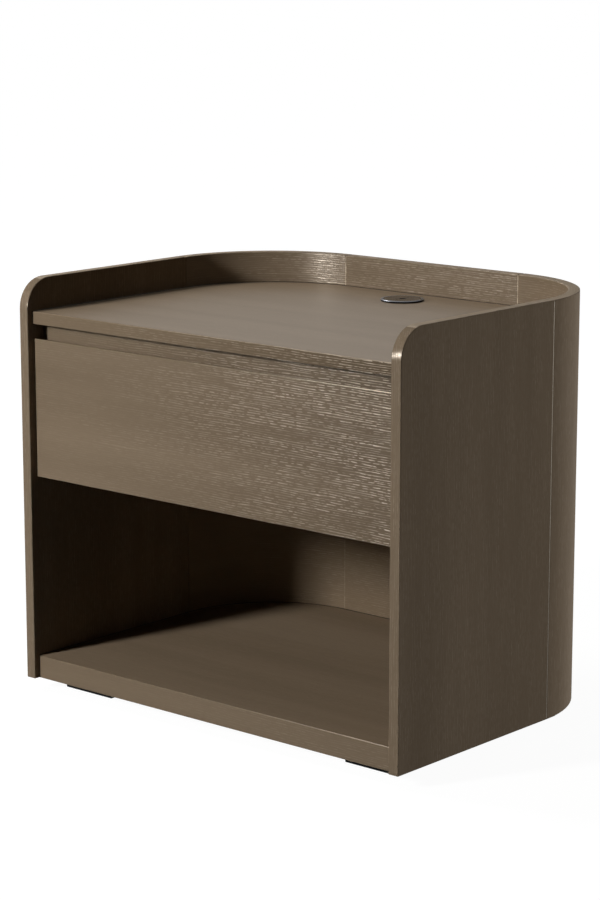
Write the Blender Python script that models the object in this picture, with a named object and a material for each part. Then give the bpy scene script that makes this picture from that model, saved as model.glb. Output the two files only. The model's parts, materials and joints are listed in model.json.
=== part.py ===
"""Bedside cabinet: a wrap-around body with a gallery, one handleless drawer and an open niche.

Units are metres and +Z is up. X runs along the width, the front faces -Y, and the origin lies
on the floor under the middle of the body.
"""

import math

import bmesh
import bpy
from mathutils import Matrix, Vector

# Whole body
WIDTH = 0.600
DEPTH = 0.444
HEIGHT = 0.522
WALL = 0.014
REAR_CORNER_RADIUS = 0.161
FRONT_CORNER_RADIUS = 0.037
EDGE_ROUND = 0.0009
FIT = 0.0003

# Panels inside the wrap
FRONT_SETBACK = 0.008
GALLERY_HEIGHT = 0.040
TOP_THICKNESS = 0.0155
DIVIDER_THICKNESS = 0.015
BOTTOM_THICKNESS = 0.029
HOUSING_DEPTH = 0.005
SPLINE_THICKNESS = 0.003
SPLINE_WIDTH = 0.016
SPLINE_STOP = 0.012

# Feet
FOOT_HEIGHT = 0.016
FOOT_WIDTH = 0.080
FOOT_LENGTH = 0.060
FOOT_SIDE_INSET = 0.030
FOOT_FRONT_INSET = 0.039
FOOT_REAR_INSET = 0.100
FOOT_CHAMFER = 0.0008

# Finger gap and drawer front
FINGER_GAP = 0.0178
RAIL_THICKNESS = 0.015
RAIL_DROP = 0.020
DRAWER_FRONT_HEIGHT = 0.1732
DRAWER_FRONT_THICKNESS = 0.016
DRAWER_FRONT_LAND = 0.003
DRAWER_SIDE_GAP = 0.0033
DRAWER_LOWER_LIP = 0.0025
BUMPER_THICKNESS = 0.0022
BUMPER_DIAMETER = 0.009
BUMPER_END_INSET = 0.0427

# Drawer box
BOX_WALL = 0.012
BOX_CLEARANCE = 0.005
BOX_OVERHANG = 0.015
BOX_EDGE = 0.0006
DRAWER_BOTTOM_THICKNESS = 0.005
BOX_GROOVE_DEPTH = 0.006
BOX_GROOVE_RISE = 0.010
DRAWER_TRAVEL = 0.250

# Slides
SLIDE_SPACE = 0.013
SLIDE_HEIGHT = 0.0455
SLIDE_SHEET = 0.0012
SLIDE_FRONT_INSET = 0.0022
SLIDE_REAR_INSET = 0.004
CABINET_FLANGE = 0.0085
MIDDLE_FLANGE = 0.006
MIDDLE_SHORTER = 0.012
WEB_GAP = 0.0008
CAGE_SHEET = 0.0008
CAGE_LENGTH = 0.090
CAGE_END = 0.012
BALL_DIAMETER = 0.0043
BALLS_PER_ROW = 4

# Charging disc
CHARGER_TO_BACK = 0.0547
CHARGER_DIAMETER = 0.055
CHARGER_HOLE = 0.048
CHARGER_FLANGE = 0.0012
CHARGER_RING_WALL = 0.0012
CHARGER_COVER_THICKNESS = 0.001
CHARGER_RING_BEVEL = 0.0006
CHARGER_WALL = 0.0018
CHARGER_REACH = 0.012
NUT_HEIGHT = 0.006
NUT_WALL = 0.005
COIL_OUTER = 0.038
COIL_INNER = 0.014
COIL_THICKNESS = 0.0015
BOARD_THICKNESS = 0.0016
INLET_BORE = 0.0055
INLET_WALL = 0.0014
INLET_REACH = 0.006

# Screws: SCREW_BITE is how far one goes into wood, and SCREW_TOP_SHARE is the flat part of its head
SCREW_HEAD = 0.006
SCREW_HEAD_HEIGHT = 0.0016
SCREW_SHANK = 0.0034
SCREW_BITE = 0.0085
SCREW_TOP_SHARE = 0.7
SCREW_END_INSET = 0.006
FRONT_SCREW_INSET = 0.093
FRONT_SCREW_RISE = 0.030
FOOT_SCREW_RECESS = 0.004

# How far a cutter starts outside a surface, and how near points are merged
CUT_LEAD = 0.001
MERGE = 1e-6

# How finely round shapes are faceted
CORNER_STEPS = 24
FRONT_CORNER_STEPS = 10
DISC_STEPS = 40
SMALL_STEPS = 10
BALL_STEPS = 6
BALL_RINGS = 4
ROUND_STEPS = 2
SMOOTH_ANGLE = math.radians(35)
SQUARE_EDGE = math.radians(60)

# Places worked out from the sizes above
FRONT_Y = -DEPTH / 2
BACK_Y = DEPTH / 2
BASE_Z = FOOT_HEIGHT
INNER_X = WIDTH / 2 - WALL
INNER_BACK_Y = BACK_Y - WALL
BEND_X = WIDTH / 2 - REAR_CORNER_RADIUS
BEND_Y = BACK_Y - REAR_CORNER_RADIUS
TOP_Z = HEIGHT - GALLERY_HEIGHT
TOP_UNDER_Z = TOP_Z - TOP_THICKNESS
FACE_Y = FRONT_Y + FRONT_SETBACK
DRAWER_TOP_Z = TOP_UNDER_Z - FINGER_GAP
DRAWER_LOW_Z = DRAWER_TOP_Z - DRAWER_FRONT_HEIGHT
DRAWER_BACK_Y = FACE_Y + DRAWER_FRONT_THICKNESS
DRAWER_FRONT_X = INNER_X - DRAWER_SIDE_GAP
RAIL_Y = DRAWER_BACK_Y + BUMPER_THICKNESS + 2 * FIT
RAIL_LOW_Z = DRAWER_TOP_Z - RAIL_DROP
DIVIDER_LOW_Z = DRAWER_LOW_Z + DRAWER_LOWER_LIP
DIVIDER_TOP_Z = DIVIDER_LOW_Z + DIVIDER_THICKNESS
BOX_LOW_Z = DIVIDER_TOP_Z + BOX_CLEARANCE
BOX_TOP_Z = RAIL_LOW_Z - BOX_CLEARANCE
BOX_X = INNER_X - SLIDE_SPACE
BOX_FRONT_Y = DRAWER_BACK_Y + FIT
SLIDE_START_Y = RAIL_Y + SLIDE_FRONT_INSET
SLIDE_END_Y = BEND_Y - SLIDE_REAR_INSET
SLIDE_Z = (BOX_LOW_Z + BOX_TOP_Z) / 2
BOX_END_Y = SLIDE_END_Y + BOX_OVERHANG
CHARGER_Y = INNER_BACK_Y - CHARGER_TO_BACK

# Finishes: colour, roughness and metallic value
VENEER = ((0.165, 0.127, 0.085), 0.42, 0.0)
BOX_BOARD = ((0.240, 0.190, 0.135), 0.55, 0.0)
BLACK_PLASTIC = ((0.012, 0.012, 0.012), 0.50, 0.0)
CLEAR_RUBBER = ((0.550, 0.550, 0.530), 0.60, 0.0)
ZINC = ((0.560, 0.570, 0.580), 0.32, 1.0)
GUNMETAL = ((0.120, 0.122, 0.128), 0.22, 1.0)
GLOSS_BLACK = ((0.020, 0.019, 0.018), 0.12, 0.0)
COPPER = ((0.620, 0.280, 0.140), 0.30, 1.0)
BOARD_GREEN = ((0.020, 0.120, 0.050), 0.45, 0.0)


def clear_scene():
    for item in list(bpy.data.objects):
        bpy.data.objects.remove(item, do_unlink=True)


def paint(item, finish):
    colour, roughness, metallic = finish
    material = bpy.data.materials.new(item.name + "_finish")
    material.use_nodes = True
    shader = material.node_tree.nodes["Principled BSDF"]
    shader.inputs["Base Color"].default_value = (*colour, 1.0)
    shader.inputs["Roughness"].default_value = roughness
    shader.inputs["Metallic"].default_value = metallic
    item.data.materials.append(material)


def new_object(name, work, finish=None):
    """Turns a finished bmesh into a named object. Without a finish it is a hidden cutter."""
    bmesh.ops.recalc_face_normals(work, faces=work.faces)
    mesh = bpy.data.meshes.new(name)
    work.to_mesh(mesh)
    work.free()
    mesh.shade_smooth()
    mesh.set_sharp_from_angle(angle=SMOOTH_ANGLE)
    item = bpy.data.objects.new(name, mesh)
    bpy.context.scene.collection.objects.link(item)
    if finish:
        paint(item, finish)
    else:
        item.hide_render = True
        item.display_type = "WIRE"
    return item


def prism(name, outline, push, finish=None):
    """A flat outline of 3-D points pushed along a vector into a closed solid."""
    work = bmesh.new()
    face = work.faces.new([work.verts.new(point) for point in outline])
    swept = bmesh.ops.extrude_face_region(work, geom=[face], use_keep_orig=True)
    moved = [part for part in swept["geom"] if isinstance(part, bmesh.types.BMVert)]
    bmesh.ops.translate(work, verts=moved, vec=Vector(push))
    return new_object(name, work, finish)


def box(name, low, high, finish=None):
    """A box between two corners, with its origin at its centre."""
    low, high = Vector(low), Vector(high)
    work = bmesh.new()
    bmesh.ops.create_cube(work, size=1.0)
    bmesh.ops.scale(work, verts=work.verts, vec=high - low)
    item = new_object(name, work, finish)
    item.location = (low + high) / 2
    return item


def turned(name, profile, steps, finish=None):
    """A profile of (radius, height) points turned about Z. It ends on the axis, or closes as a ring."""
    work = bmesh.new()
    points = [work.verts.new((radius, 0, height)) for radius, height in profile]
    edges = [work.edges.new(pair) for pair in zip(points, points[1:])]
    if profile[0][0] > 0:
        edges.append(work.edges.new((points[-1], points[0])))
    bmesh.ops.spin(
        work, geom=points + edges, cent=(0, 0, 0), axis=(0, 0, 1),
        angle=2 * math.pi, steps=steps, use_merge=True,
    )
    bmesh.ops.remove_doubles(work, verts=work.verts, dist=MERGE)
    return new_object(name, work, finish)


def place(item, where, direction=(0, 0, 1)):
    """Moves a turned piece to a point, with its axis along a direction."""
    item.location = where
    item.rotation_euler = Vector(direction).to_track_quat("Z", "Y").to_euler()
    return item


def arc(centre, radius, start, stop, steps):
    """Points on an arc, from one angle to another in degrees, ends included."""
    points = []
    for step in range(steps + 1):
        angle = math.radians(start + (stop - start) * step / steps)
        points.append((centre[0] + radius * math.cos(angle), centre[1] + radius * math.sin(angle)))
    return points


def combine(item, other, operation):
    modifier = item.modifiers.new(operation.lower() + "_" + other.name, "BOOLEAN")
    modifier.operation = operation
    modifier.object = other


def cut(item, cutter):
    combine(item, cutter, "DIFFERENCE")


def drill(item, where, direction, radius, depth):
    """A blind or through hole from a point along a direction, started a little outside the surface."""
    profile = [(0, -CUT_LEAD), (radius, -CUT_LEAD), (radius, depth), (0, depth)]
    cut(item, place(turned(item.name + "_hole", profile, SMALL_STEPS), where, direction))


def ease(item, width=EDGE_ROUND, segments=ROUND_STEPS):
    """Rounds the square edges of a board."""
    modifier = item.modifiers.new("eased_edges", "BEVEL")
    modifier.width = width
    modifier.segments = segments
    modifier.limit_method = "ANGLE"
    modifier.angle_limit = SQUARE_EDGE
    modifier.use_clamp_overlap = True


def ease_front(item, front):
    """Rounds only a shelf's two long front edges, because its other edges are housed."""
    mesh = item.data
    weights = mesh.attributes.new("bevel_weight_edge", "FLOAT", "EDGE")
    for edge in mesh.edges:
        first, second = (mesh.vertices[index].co for index in edge.vertices)
        level = abs(first.z - second.z) < FIT
        if level and max(first.y, second.y) < front + FIT:
            weights.data[edge.index].value = 1.0
    ease(item)
    item.modifiers["eased_edges"].limit_method = "WEIGHT"


def mover(name, where):
    """An empty on a sliding piece's line of travel, which carries the pieces that move together."""
    empty = bpy.data.objects.new(name, None)
    empty.location = where
    bpy.context.scene.collection.objects.link(empty)
    return empty


def carry(empty, item):
    item.parent = empty
    item.matrix_parent_inverse = Matrix.Translation(-empty.location)


def side_name(side):
    return "left" if side < 0 else "right"


def side_panel(side):
    """A flat side with a rounded front top corner, from the front edge to the bend."""
    low, high = BASE_Z, HEIGHT
    rear = BEND_Y - FIT
    turn = (FRONT_Y + FRONT_CORNER_RADIUS, high - FRONT_CORNER_RADIUS)
    rounded = arc(turn, FRONT_CORNER_RADIUS, 180, 90, FRONT_CORNER_STEPS)
    outline = [(FRONT_Y, low)] + rounded + [(rear, high), (rear, low)]
    start = side * INNER_X
    points = [(start, y, z) for y, z in outline]
    item = prism(side_name(side) + "_side_panel", points, (side * WALL, 0, 0), VENEER)
    ease(item)
    return item


def rear_corner(side):
    """A bent quarter turn between a side and the back."""
    centre = (BEND_X, BEND_Y)
    outer = arc(centre, REAR_CORNER_RADIUS, 0, 90, CORNER_STEPS)
    inner = arc(centre, REAR_CORNER_RADIUS - WALL, 90, 0, CORNER_STEPS)
    points = [(side * x, y, BASE_Z) for x, y in outer + inner]
    item = prism(side_name(side) + "_rear_corner", points, (0, 0, HEIGHT - BASE_Z), VENEER)
    ease(item)
    return item


def back_panel():
    reach = BEND_X - FIT
    low = (-reach, INNER_BACK_Y, BASE_Z)
    item = box("back_panel", low, (reach, BACK_Y, HEIGHT), VENEER)
    ease(item)
    return item


def shelf(name, front, low, high, finish=None, grow=0.0):
    """A board that fills the wrap from a front line back, housed in the walls on three sides."""
    front = front - grow
    half = INNER_X + HOUSING_DEPTH + grow
    radius = REAR_CORNER_RADIUS - WALL + HOUSING_DEPTH + grow
    right = [(half, front)] + arc((BEND_X, BEND_Y), radius, 0, 90, CORNER_STEPS)
    left = [(-x, y) for x, y in reversed(right)]
    points = [(x, y, low - grow) for x, y in right + left]
    return prism(name, points, (0, 0, high - low + 2 * grow), finish)


def housed_shelf(name, front, low, high, walls):
    """A shelf with the groove that it sits in cut into each wall."""
    item = shelf(name, front, low, high, VENEER)
    ease_front(item, front)
    groove = shelf(name + "_groove", front, low, high, grow=FIT)
    for wall in walls:
        cut(wall, groove)
    return item


def bottom_panel(walls):
    """The thick bottom, flush with the wrap's lower edge and let into it as a rebate."""
    high = BASE_Z + BOTTOM_THICKNESS
    item = shelf("bottom_panel", FACE_Y, BASE_Z, high, VENEER)
    ease_front(item, FACE_Y)
    rebate = shelf("bottom_rebate", FACE_Y, BASE_Z - HOUSING_DEPTH, high, grow=FIT)
    for wall in walls:
        cut(wall, rebate)
    return item


def finger_rail(sides):
    """The recessed strip behind the finger gap, let into both sides."""
    half = INNER_X + HOUSING_DEPTH
    low = Vector((-half, RAIL_Y, RAIL_LOW_Z))
    high = Vector((half, RAIL_Y + RAIL_THICKNESS, TOP_UNDER_Z - FIT))
    grow = Vector((FIT, FIT, FIT))
    item = box("finger_rail", low, high, VENEER)
    ease(item)
    pocket = box("finger_rail_pocket", low - grow, high + grow)
    for panel in sides:
        cut(panel, pocket)


def spline(name, centre, along_x, walls):
    """A loose tongue in the middle of the wall, set in slots on both sides of a seam."""
    half = Vector((SPLINE_THICKNESS / 2, SPLINE_WIDTH / 2, 0))
    if along_x:
        half = Vector((half.y, half.x, 0))
    low = Vector((centre[0], centre[1], BASE_Z + SPLINE_STOP)) - half
    high = Vector((centre[0], centre[1], HEIGHT - SPLINE_STOP)) + half
    grow = Vector((FIT, FIT, FIT))
    box(name, low, high, BOX_BOARD)
    slot = box(name + "_slot", low - grow, high + grow)
    for wall in walls:
        cut(wall, slot)


def wrap():
    """The five wall pieces and the tongues that join them."""
    back = back_panel()
    sides, corners = [], []
    tongue = (HOUSING_DEPTH + WALL) / 2
    for side in (-1, 1):
        panel, corner = side_panel(side), rear_corner(side)
        seam_x = side * (INNER_X + tongue)
        seam_y = INNER_BACK_Y + tongue
        spline(side_name(side) + "_side_spline", (seam_x, BEND_Y), False, (panel, corner))
        spline(side_name(side) + "_back_spline", (side * BEND_X, seam_y), True, (back, corner))
        sides.append(panel)
        corners.append(corner)
    return sides, corners + [back]


def screw(name, where, direction, bite):
    """A pan-head screw with its head's underside at a point, biting along a direction."""
    shank, head = SCREW_SHANK / 2, SCREW_HEAD / 2
    profile = [
        (0, bite), (shank, bite - 2 * shank), (shank, 0), (head, 0),
        (head, -SCREW_HEAD_HEIGHT / 2), (head * SCREW_TOP_SHARE, -SCREW_HEAD_HEIGHT), (0, -SCREW_HEAD_HEIGHT),
    ]
    return place(turned(name, profile, SMALL_STEPS, ZINC), where, direction)


def clear_hole():
    """Radius of the hole that a screw's shank passes through or bites into."""
    return SCREW_SHANK / 2 + FIT


def foot(side, end, bottom):
    """A black block under the bottom panel with a recessed screw through it."""
    name = side_name(side) + "_" + end + "_foot"
    outer = WIDTH / 2 - FOOT_SIDE_INSET
    if end == "front":
        start = FRONT_Y + FOOT_FRONT_INSET
    else:
        start = BACK_Y - FOOT_REAR_INSET - FOOT_LENGTH
    edges = sorted((side * outer, side * (outer - FOOT_WIDTH)))
    item = box(
        name, (edges[0], start, 0), (edges[1], start + FOOT_LENGTH, FOOT_HEIGHT - FIT), BLACK_PLASTIC
    )
    ease(item, FOOT_CHAMFER, 1)
    centre = (item.location.x, item.location.y)
    seat = FOOT_SCREW_RECESS
    drill(item, (*centre, 0), (0, 0, 1), SCREW_HEAD / 2 + FIT, seat + FIT)
    drill(item, (*centre, 0), (0, 0, 1), clear_hole(), FOOT_HEIGHT + FIT)
    bite = FOOT_HEIGHT - seat + SCREW_BITE
    drill(bottom, (*centre, BASE_Z), (0, 0, 1), clear_hole(), SCREW_BITE + FIT)
    screw(name + "_screw", (*centre, seat), (0, 0, 1), bite)


def drawer_front(carrier):
    """A board whose top edge slopes down behind a narrow land, so that fingers hook it."""
    slope = DRAWER_FRONT_THICKNESS - DRAWER_FRONT_LAND
    outline = [
        (FACE_Y, DRAWER_LOW_Z), (FACE_Y, DRAWER_TOP_Z), (FACE_Y + DRAWER_FRONT_LAND, DRAWER_TOP_Z),
        (DRAWER_BACK_Y, DRAWER_TOP_Z - slope), (DRAWER_BACK_Y, DRAWER_LOW_Z),
    ]
    points = [(-DRAWER_FRONT_X, y, z) for y, z in outline]
    item = prism("drawer_front", points, (2 * DRAWER_FRONT_X, 0, 0), VENEER)
    ease(item)
    carry(carrier, item)
    return item


def grooved(face, back, inward):
    """A box board's section, seen along its length: (across, height) points with the bottom's groove."""
    groove_low = BOX_LOW_Z + BOX_GROOVE_RISE - FIT
    groove_high = BOX_LOW_Z + BOX_GROOVE_RISE + DRAWER_BOTTOM_THICKNESS + FIT
    root = face - inward * BOX_GROOVE_DEPTH
    return [
        (back, BOX_LOW_Z), (face, BOX_LOW_Z), (face, groove_low), (root, groove_low),
        (root, groove_high), (face, groove_high), (face, BOX_TOP_Z), (back, BOX_TOP_Z),
    ]


def drawer_box(carrier):
    """Two sides, a front and a back between them, and a bottom held in their grooves."""
    boards = {}
    face_x = BOX_X - BOX_WALL
    for side in (-1, 1):
        section = grooved(side * face_x, side * BOX_X, -side)
        points = [(x, BOX_FRONT_Y, z) for x, z in section]
        name = "drawer_" + side_name(side) + "_side"
        boards[name] = prism(name, points, (0, BOX_END_Y - BOX_FRONT_Y, 0), BOX_BOARD)
    half = face_x - FIT
    ends = {
        "drawer_box_front": (BOX_FRONT_Y + BOX_WALL, BOX_FRONT_Y, 1),
        "drawer_back": (BOX_END_Y - BOX_WALL, BOX_END_Y, -1),
    }
    for name, (face, back, inward) in ends.items():
        points = [(-half, y, z) for y, z in grooved(face, back, inward)]
        boards[name] = prism(name, points, (2 * half, 0, 0), BOX_BOARD)
    for board in boards.values():
        ease(board, BOX_EDGE, 1)
    reach = BOX_GROOVE_DEPTH - FIT
    low = (-face_x - reach, BOX_FRONT_Y + BOX_WALL - reach, BOX_LOW_Z + BOX_GROOVE_RISE)
    high = (face_x + reach, BOX_END_Y - BOX_WALL + reach, low[2] + DRAWER_BOTTOM_THICKNESS)
    boards["drawer_bottom"] = box("drawer_bottom", low, high, BOX_BOARD)
    for board in boards.values():
        carry(carrier, board)
    return boards


def front_screws(carrier, front, box_front):
    """Four screws from inside the box into the drawer front."""
    seat = BOX_FRONT_Y + BOX_WALL + FIT
    bite = seat - DRAWER_BACK_Y + SCREW_BITE
    spread = BOX_X - FRONT_SCREW_INSET
    number = 0
    for side in (-1, 1):
        for rise in (-FRONT_SCREW_RISE, FRONT_SCREW_RISE):
            number += 1
            spot = Vector((side * spread, seat, SLIDE_Z + rise))
            into = (0, -1, 0)
            drill(box_front, spot, into, clear_hole(), BOX_WALL + 2 * FIT)
            drill(front, (spot.x, DRAWER_BACK_Y, spot.z), into, clear_hole(), SCREW_BITE + FIT)
            carry(carrier, screw("drawer_front_screw_%d" % number, spot, into, bite))


def bumpers(carrier):
    """Two soft pads behind the drawer front, which meet the divider's front edge."""
    radius = BUMPER_DIAMETER / 2
    profile = [(0, 0), (radius, 0), (radius, BUMPER_THICKNESS), (0, BUMPER_THICKNESS)]
    middle = (DIVIDER_LOW_Z + DIVIDER_TOP_Z) / 2
    spread = DRAWER_FRONT_X - BUMPER_END_INSET
    for side in (-1, 1):
        item = turned("drawer_" + side_name(side) + "_bumper", profile, SMALL_STEPS, CLEAR_RUBBER)
        place(item, (side * spread, DRAWER_BACK_Y + FIT, middle), (0, 1, 0))
        carry(carrier, item)


def channel(name, side, web, tip, half, sheet, start, end):
    """A folded strip along Y. Web and tip are distances from the side panel, and half is its half height."""
    inner = web + math.copysign(sheet, tip - web)
    section = [
        (web, -half), (tip, -half), (tip, sheet - half), (inner, sheet - half),
        (inner, half - sheet), (tip, half - sheet), (tip, half), (web, half),
    ]
    points = [(side * (INNER_X - off), start, SLIDE_Z + z) for off, z in section]
    return prism(name, points, (0, end - start, 0), ZINC)


def ball_cage(name, side, web, row, height, start):
    """A folded strip that keeps two rows of balls in line. The balls are joined to it."""
    tip = row + BALL_DIAMETER / 2
    item = channel(name, side, web, tip, height + CAGE_SHEET / 2, CAGE_SHEET, start, start + CAGE_LENGTH)
    work = bmesh.new()
    pitch = CAGE_LENGTH / BALLS_PER_ROW
    for number in range(BALLS_PER_ROW):
        for level in (-height, height):
            spot = (side * (INNER_X - row), start + pitch * (number + 0.5), SLIDE_Z + level)
            bmesh.ops.create_uvsphere(
                work, u_segments=BALL_STEPS, v_segments=BALL_RINGS, radius=BALL_DIAMETER / 2,
                matrix=Matrix.Translation(spot),
            )
    combine(item, new_object(name + "_balls", work), "UNION")
    return item


def slide_screws(name, side, item, wood, seat, into, ends):
    """Screws through a member's web into the board behind it, near both ends."""
    screws = []
    for end, y in zip(("front", "rear"), ends):
        spot = Vector((side * (INNER_X - seat), y, SLIDE_Z))
        direction = Vector((side * into, 0, 0))
        drill(item, spot, direction, clear_hole(), SLIDE_SHEET + 2 * FIT)
        drill(wood, spot + direction * (SLIDE_SHEET + FIT), direction, clear_hole(), SCREW_BITE + 2 * FIT)
        bite = SLIDE_SHEET + 2 * FIT + SCREW_BITE
        screws.append(screw(name + "_" + end + "_screw", spot, direction, bite))
    return screws


def slide(side, panel, drawer_side, drawer):
    """Three nested members with a ball cage between each pair, on one side of the drawer."""
    name = side_name(side) + "_slide"
    race = BALL_DIAMETER + 2 * FIT
    cabinet_half = SLIDE_HEIGHT / 2
    middle_half = cabinet_half - SLIDE_SHEET - race
    drawer_half = middle_half - SLIDE_SHEET - race

    cabinet_web = FIT
    outer_cage_web = cabinet_web + SLIDE_SHEET + WEB_GAP
    middle_web = outer_cage_web + CAGE_SHEET + WEB_GAP
    inner_cage_web = middle_web + SLIDE_SHEET + WEB_GAP
    drawer_tip = inner_cage_web + CAGE_SHEET + WEB_GAP
    drawer_web = SLIDE_SPACE - FIT
    cabinet_tip = cabinet_web + SLIDE_SHEET + CABINET_FLANGE
    middle_tip = middle_web + SLIDE_SHEET + MIDDLE_FLANGE

    start, end = SLIDE_START_Y, SLIDE_END_Y
    cabinet = channel(
        name + "_cabinet_member", side, cabinet_web, cabinet_tip, cabinet_half, SLIDE_SHEET, start, end
    )
    middle_end = end - MIDDLE_SHORTER
    middle = channel(
        name + "_middle_member", side, middle_web, middle_tip, middle_half, SLIDE_SHEET, start, middle_end
    )
    member = channel(
        name + "_drawer_member", side, drawer_web, drawer_tip, drawer_half, SLIDE_SHEET, start, end
    )

    cage_start = start + DRAWER_TRAVEL / 4 + CAGE_END
    outer_row = (middle_web + SLIDE_SHEET + cabinet_tip) / 2
    outer_height = middle_half + race / 2
    outer = ball_cage(name + "_outer_cage", side, outer_cage_web, outer_row, outer_height, cage_start)
    inner_row = (drawer_tip + middle_tip) / 2
    inner_height = drawer_half + race / 2
    inner = ball_cage(name + "_inner_cage", side, inner_cage_web, inner_row, inner_height, cage_start)

    ends = (start + SCREW_END_INSET, end - SCREW_END_INSET)
    slide_screws(name + "_cabinet", side, cabinet, panel, cabinet_web + SLIDE_SHEET + FIT, 1, ends)
    drawer_screws = slide_screws(
        name + "_drawer", side, member, drawer_side, drawer_web - SLIDE_SHEET - FIT, -1, ends
    )

    for item in [member] + drawer_screws:
        carry(drawer, item)
    for item in (middle, outer, inner):
        carry(mover(item.name + "_mover", (side * INNER_X, start, SLIDE_Z)), item)


def charger(top):
    """A flush charging disc: a flanged cup through the top panel, held by a nut from below."""
    centre = (0, CHARGER_Y, TOP_Z)
    hole = CHARGER_HOLE / 2
    barrel = hole - FIT
    bore = barrel - CHARGER_WALL
    rim = CHARGER_DIAMETER / 2
    through = [(0, -2 * TOP_THICKNESS), (hole, -2 * TOP_THICKNESS), (hole, TOP_THICKNESS), (0, TOP_THICKNESS)]
    cut(top, place(turned("charger_hole", through, DISC_STEPS), centre))

    flange_top = FIT + CHARGER_FLANGE
    floor = -TOP_THICKNESS - CHARGER_REACH
    inlet = INLET_BORE / 2 + INLET_WALL
    flange = rim - CHARGER_RING_WALL - FIT
    cup = [
        (inlet + FIT, floor), (barrel, floor), (barrel, FIT), (flange, FIT), (flange, flange_top),
        (bore, flange_top), (bore, floor + CHARGER_WALL), (inlet + FIT, floor + CHARGER_WALL),
    ]
    place(turned("charger_housing", cup, DISC_STEPS, BLACK_PLASTIC), centre)

    cover_low = flange_top + FIT
    cover_top = cover_low + CHARGER_COVER_THICKNESS
    cover_edge = barrel
    ring = [
        (flange + FIT, FIT), (rim, FIT), (rim, cover_top - CHARGER_RING_BEVEL),
        (rim - CHARGER_RING_BEVEL, cover_top), (cover_edge + FIT, cover_top),
        (cover_edge + FIT, cover_low), (flange + FIT, cover_low),
    ]
    place(turned("charger_trim_ring", ring, DISC_STEPS, GUNMETAL), centre)
    cover = [(0, cover_low), (cover_edge, cover_low), (cover_edge, cover_top), (0, cover_top)]
    place(turned("charger_cover", cover, DISC_STEPS, GLOSS_BLACK), centre)

    coil_top = flange_top
    coil_low = coil_top - COIL_THICKNESS
    coil = [
        (COIL_INNER / 2, coil_low), (COIL_OUTER / 2, coil_low),
        (COIL_OUTER / 2, coil_top), (COIL_INNER / 2, coil_top),
    ]
    place(turned("charger_coil", coil, DISC_STEPS, COPPER), centre)
    board_top = coil_low - FIT
    board_edge = bore - FIT
    board = [
        (0, board_top - BOARD_THICKNESS), (board_edge, board_top - BOARD_THICKNESS),
        (board_edge, board_top), (0, board_top),
    ]
    place(turned("charger_board", board, DISC_STEPS, BOARD_GREEN), centre)

    nut_top = -TOP_THICKNESS - FIT
    nut = [
        (barrel + FIT, nut_top - NUT_HEIGHT), (barrel + NUT_WALL, nut_top - NUT_HEIGHT),
        (barrel + NUT_WALL, nut_top), (barrel + FIT, nut_top),
    ]
    place(turned("charger_nut", nut, DISC_STEPS, BLACK_PLASTIC), centre)
    sleeve = [
        (INLET_BORE / 2, floor - INLET_REACH), (inlet, floor - INLET_REACH),
        (inlet, floor + CHARGER_WALL), (INLET_BORE / 2, floor + CHARGER_WALL),
    ]
    place(turned("charger_inlet", sleeve, SMALL_STEPS, BLACK_PLASTIC), centre)


def main():
    clear_scene()
    sides, rest_of_wrap = wrap()
    walls = sides + rest_of_wrap
    top = housed_shelf("top_panel", FACE_Y, TOP_UNDER_Z, TOP_Z, walls)
    housed_shelf("divider_panel", RAIL_Y, DIVIDER_LOW_Z, DIVIDER_TOP_Z, walls)
    bottom = bottom_panel(walls)
    finger_rail(sides)
    for side in (-1, 1):
        for end in ("front", "rear"):
            foot(side, end, bottom)
    charger(top)

    drawer = mover("drawer_mover", (0, FACE_Y, SLIDE_Z))
    front = drawer_front(drawer)
    boards = drawer_box(drawer)
    front_screws(drawer, front, boards["drawer_box_front"])
    bumpers(drawer)
    for side, panel in zip((-1, 1), sides):
        slide(side, panel, boards["drawer_" + side_name(side) + "_side"], drawer)


main()
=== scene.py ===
"""Looks of the bedside cabinet: finishes for every piece, small details, studio light and the camera.

Lengths are in metres unless a comment says otherwise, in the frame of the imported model: X along the
width, front towards -Y, floor at Z 0.
"""

import json
import math

import bmesh
import bpy
from mathutils import Matrix, Vector

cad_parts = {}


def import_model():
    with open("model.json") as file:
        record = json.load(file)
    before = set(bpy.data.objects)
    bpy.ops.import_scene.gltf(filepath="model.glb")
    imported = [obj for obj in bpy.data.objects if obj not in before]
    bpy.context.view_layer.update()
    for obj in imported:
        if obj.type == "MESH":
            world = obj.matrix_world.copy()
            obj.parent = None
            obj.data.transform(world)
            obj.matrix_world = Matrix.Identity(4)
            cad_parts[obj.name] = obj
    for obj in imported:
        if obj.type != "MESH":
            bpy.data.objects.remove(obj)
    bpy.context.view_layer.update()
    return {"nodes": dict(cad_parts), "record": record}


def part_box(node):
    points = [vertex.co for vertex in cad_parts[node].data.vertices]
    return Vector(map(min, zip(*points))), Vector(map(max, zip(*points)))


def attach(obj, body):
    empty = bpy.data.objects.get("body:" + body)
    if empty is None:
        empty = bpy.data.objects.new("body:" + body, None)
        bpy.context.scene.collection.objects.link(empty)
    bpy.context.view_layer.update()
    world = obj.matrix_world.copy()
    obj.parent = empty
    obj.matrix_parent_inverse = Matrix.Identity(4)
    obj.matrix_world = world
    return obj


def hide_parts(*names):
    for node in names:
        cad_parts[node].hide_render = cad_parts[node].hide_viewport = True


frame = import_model()

# Camera, at the photograph's viewing angle, with its lens in millimetres
LENS = 106.1
CAMERA_PLACE = (2.0703, -2.428, 0.9706)
CAMERA_YAW = math.radians(40.96)
CAMERA_PITCH = math.radians(11.63)

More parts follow.
